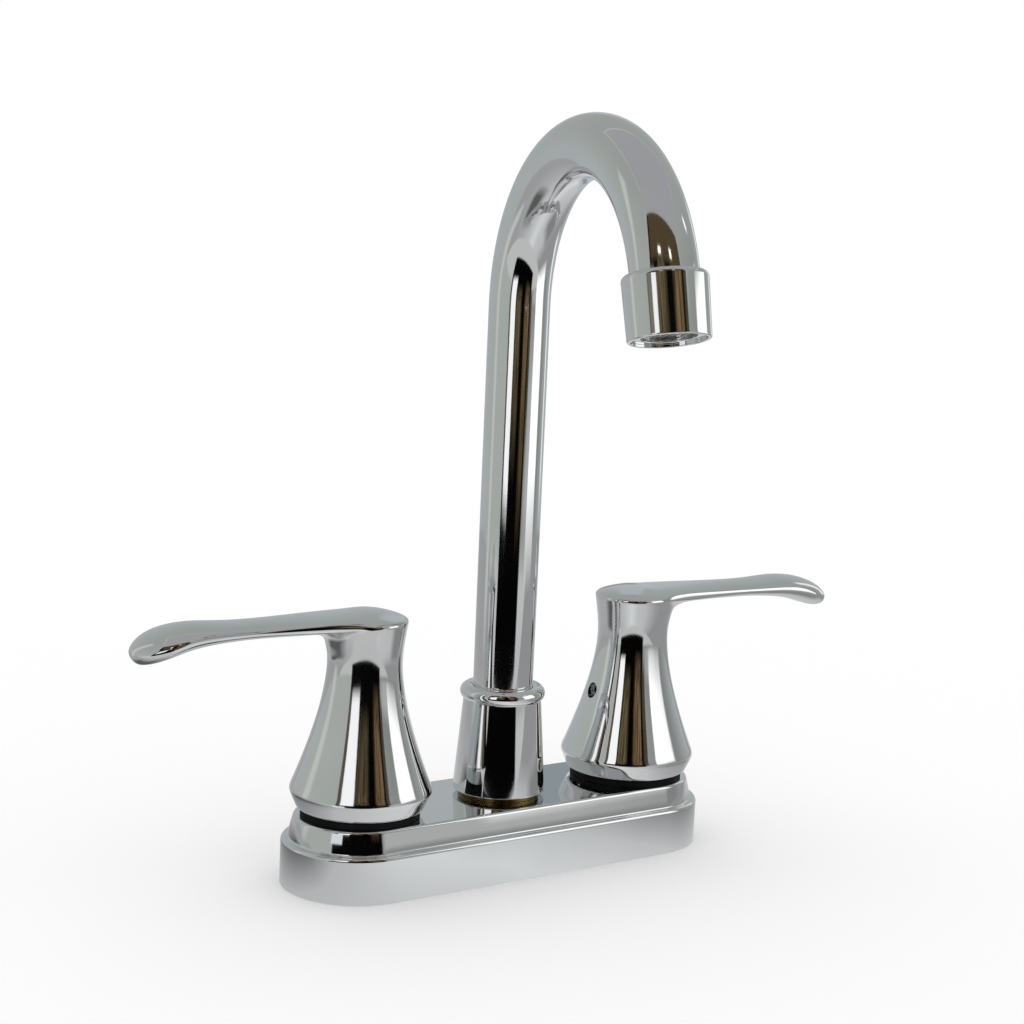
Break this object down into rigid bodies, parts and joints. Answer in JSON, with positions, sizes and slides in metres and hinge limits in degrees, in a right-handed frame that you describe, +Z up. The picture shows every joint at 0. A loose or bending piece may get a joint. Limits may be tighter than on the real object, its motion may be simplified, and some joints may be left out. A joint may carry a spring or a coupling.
{
  "type": "basin mixer tap",
  "caption": "Deck-mounted basin mixer tap with hot and cold lever handles, ceramic disc valves and a swivelling gooseneck spout.",
  "frame": {"origin": "on the worktop plane, under the spout's swivel axis", "axes": "+Z up along the swivel axis, -Y towards the user, hot valve at -X and cold valve at +X"},
  "size_m": [0.2533, 0.1317, 0.2867],
  "materials": {
    "chrome": "mirror polished",
    "brass": "machined",
    "copper": "drawn",
    "disc_ceramic": "lapped",
    "steel": "plain",
    "white_plastic": "moulded",
    "black_rubber": "moulded"
  },
  "bodies": {
    "base": {"deck_plate": "chrome", "deck_gasket": "black_rubber", "crossover_tubes": "copper", "mounting_washers": "steel", "mounting_nuts": "brass", "spout_post": "brass", "spout_ring_nut": "brass", "spout_collar": "chrome", "spout_glide_washer": "white_plastic", "hot_inlet_body": "brass", "hot_seat_ring": "black_rubber", "hot_lock_nut": "brass", "hot_cartridge_body": "brass", "hot_cartridge_o_ring": "black_rubber", "hot_seat_seal": "black_rubber", "hot_fixed_disc": "disc_ceramic", "cold_inlet_body": "brass", "cold_seat_ring": "black_rubber", "cold_lock_nut": "brass", "cold_cartridge_body": "brass", "cold_cartridge_o_ring": "black_rubber", "cold_seat_seal": "black_rubber", "cold_fixed_disc": "disc_ceramic"},
    "spout": {"spout_tube": "chrome", "spout_spigot": "brass", "spout_lower_o_ring": "black_rubber", "spout_upper_o_ring": "black_rubber", "spout_outlet": "chrome", "aerator_washer": "black_rubber", "aerator_housing": "chrome", "aerator_insert": "white_plastic", "aerator_screen": "steel"},
    "hot_lever": {"hot_handle": "chrome", "hot_set_screw": "steel", "hot_stem": "brass", "hot_stem_clip": "steel", "hot_moving_disc": "disc_ceramic", "hot_stem_o_ring": "black_rubber"},
    "cold_lever": {"cold_handle": "chrome", "cold_set_screw": "steel", "cold_stem": "brass", "cold_stem_clip": "steel", "cold_moving_disc": "disc_ceramic", "cold_stem_o_ring": "black_rubber"}
  },
  "joints": [
    {"name": "spout_swivel", "type": "hinge", "parent": "base", "child": "spout", "pos_m": [0, 0, 0.0546], "axis": [0, 0, 1], "continuous": true},
    {"name": "hot_turn", "type": "hinge", "parent": "base", "child": "hot_lever", "pos_m": [-0.0508, 0, 0.0508], "axis": [0, 0, 1], "range_deg": [0, 90]},
    {"name": "cold_turn", "type": "hinge", "parent": "base", "child": "cold_lever", "pos_m": [0.0508, 0, 0.0508], "axis": [0, 0, 1], "range_deg": [-90, 0]}
  ]
}
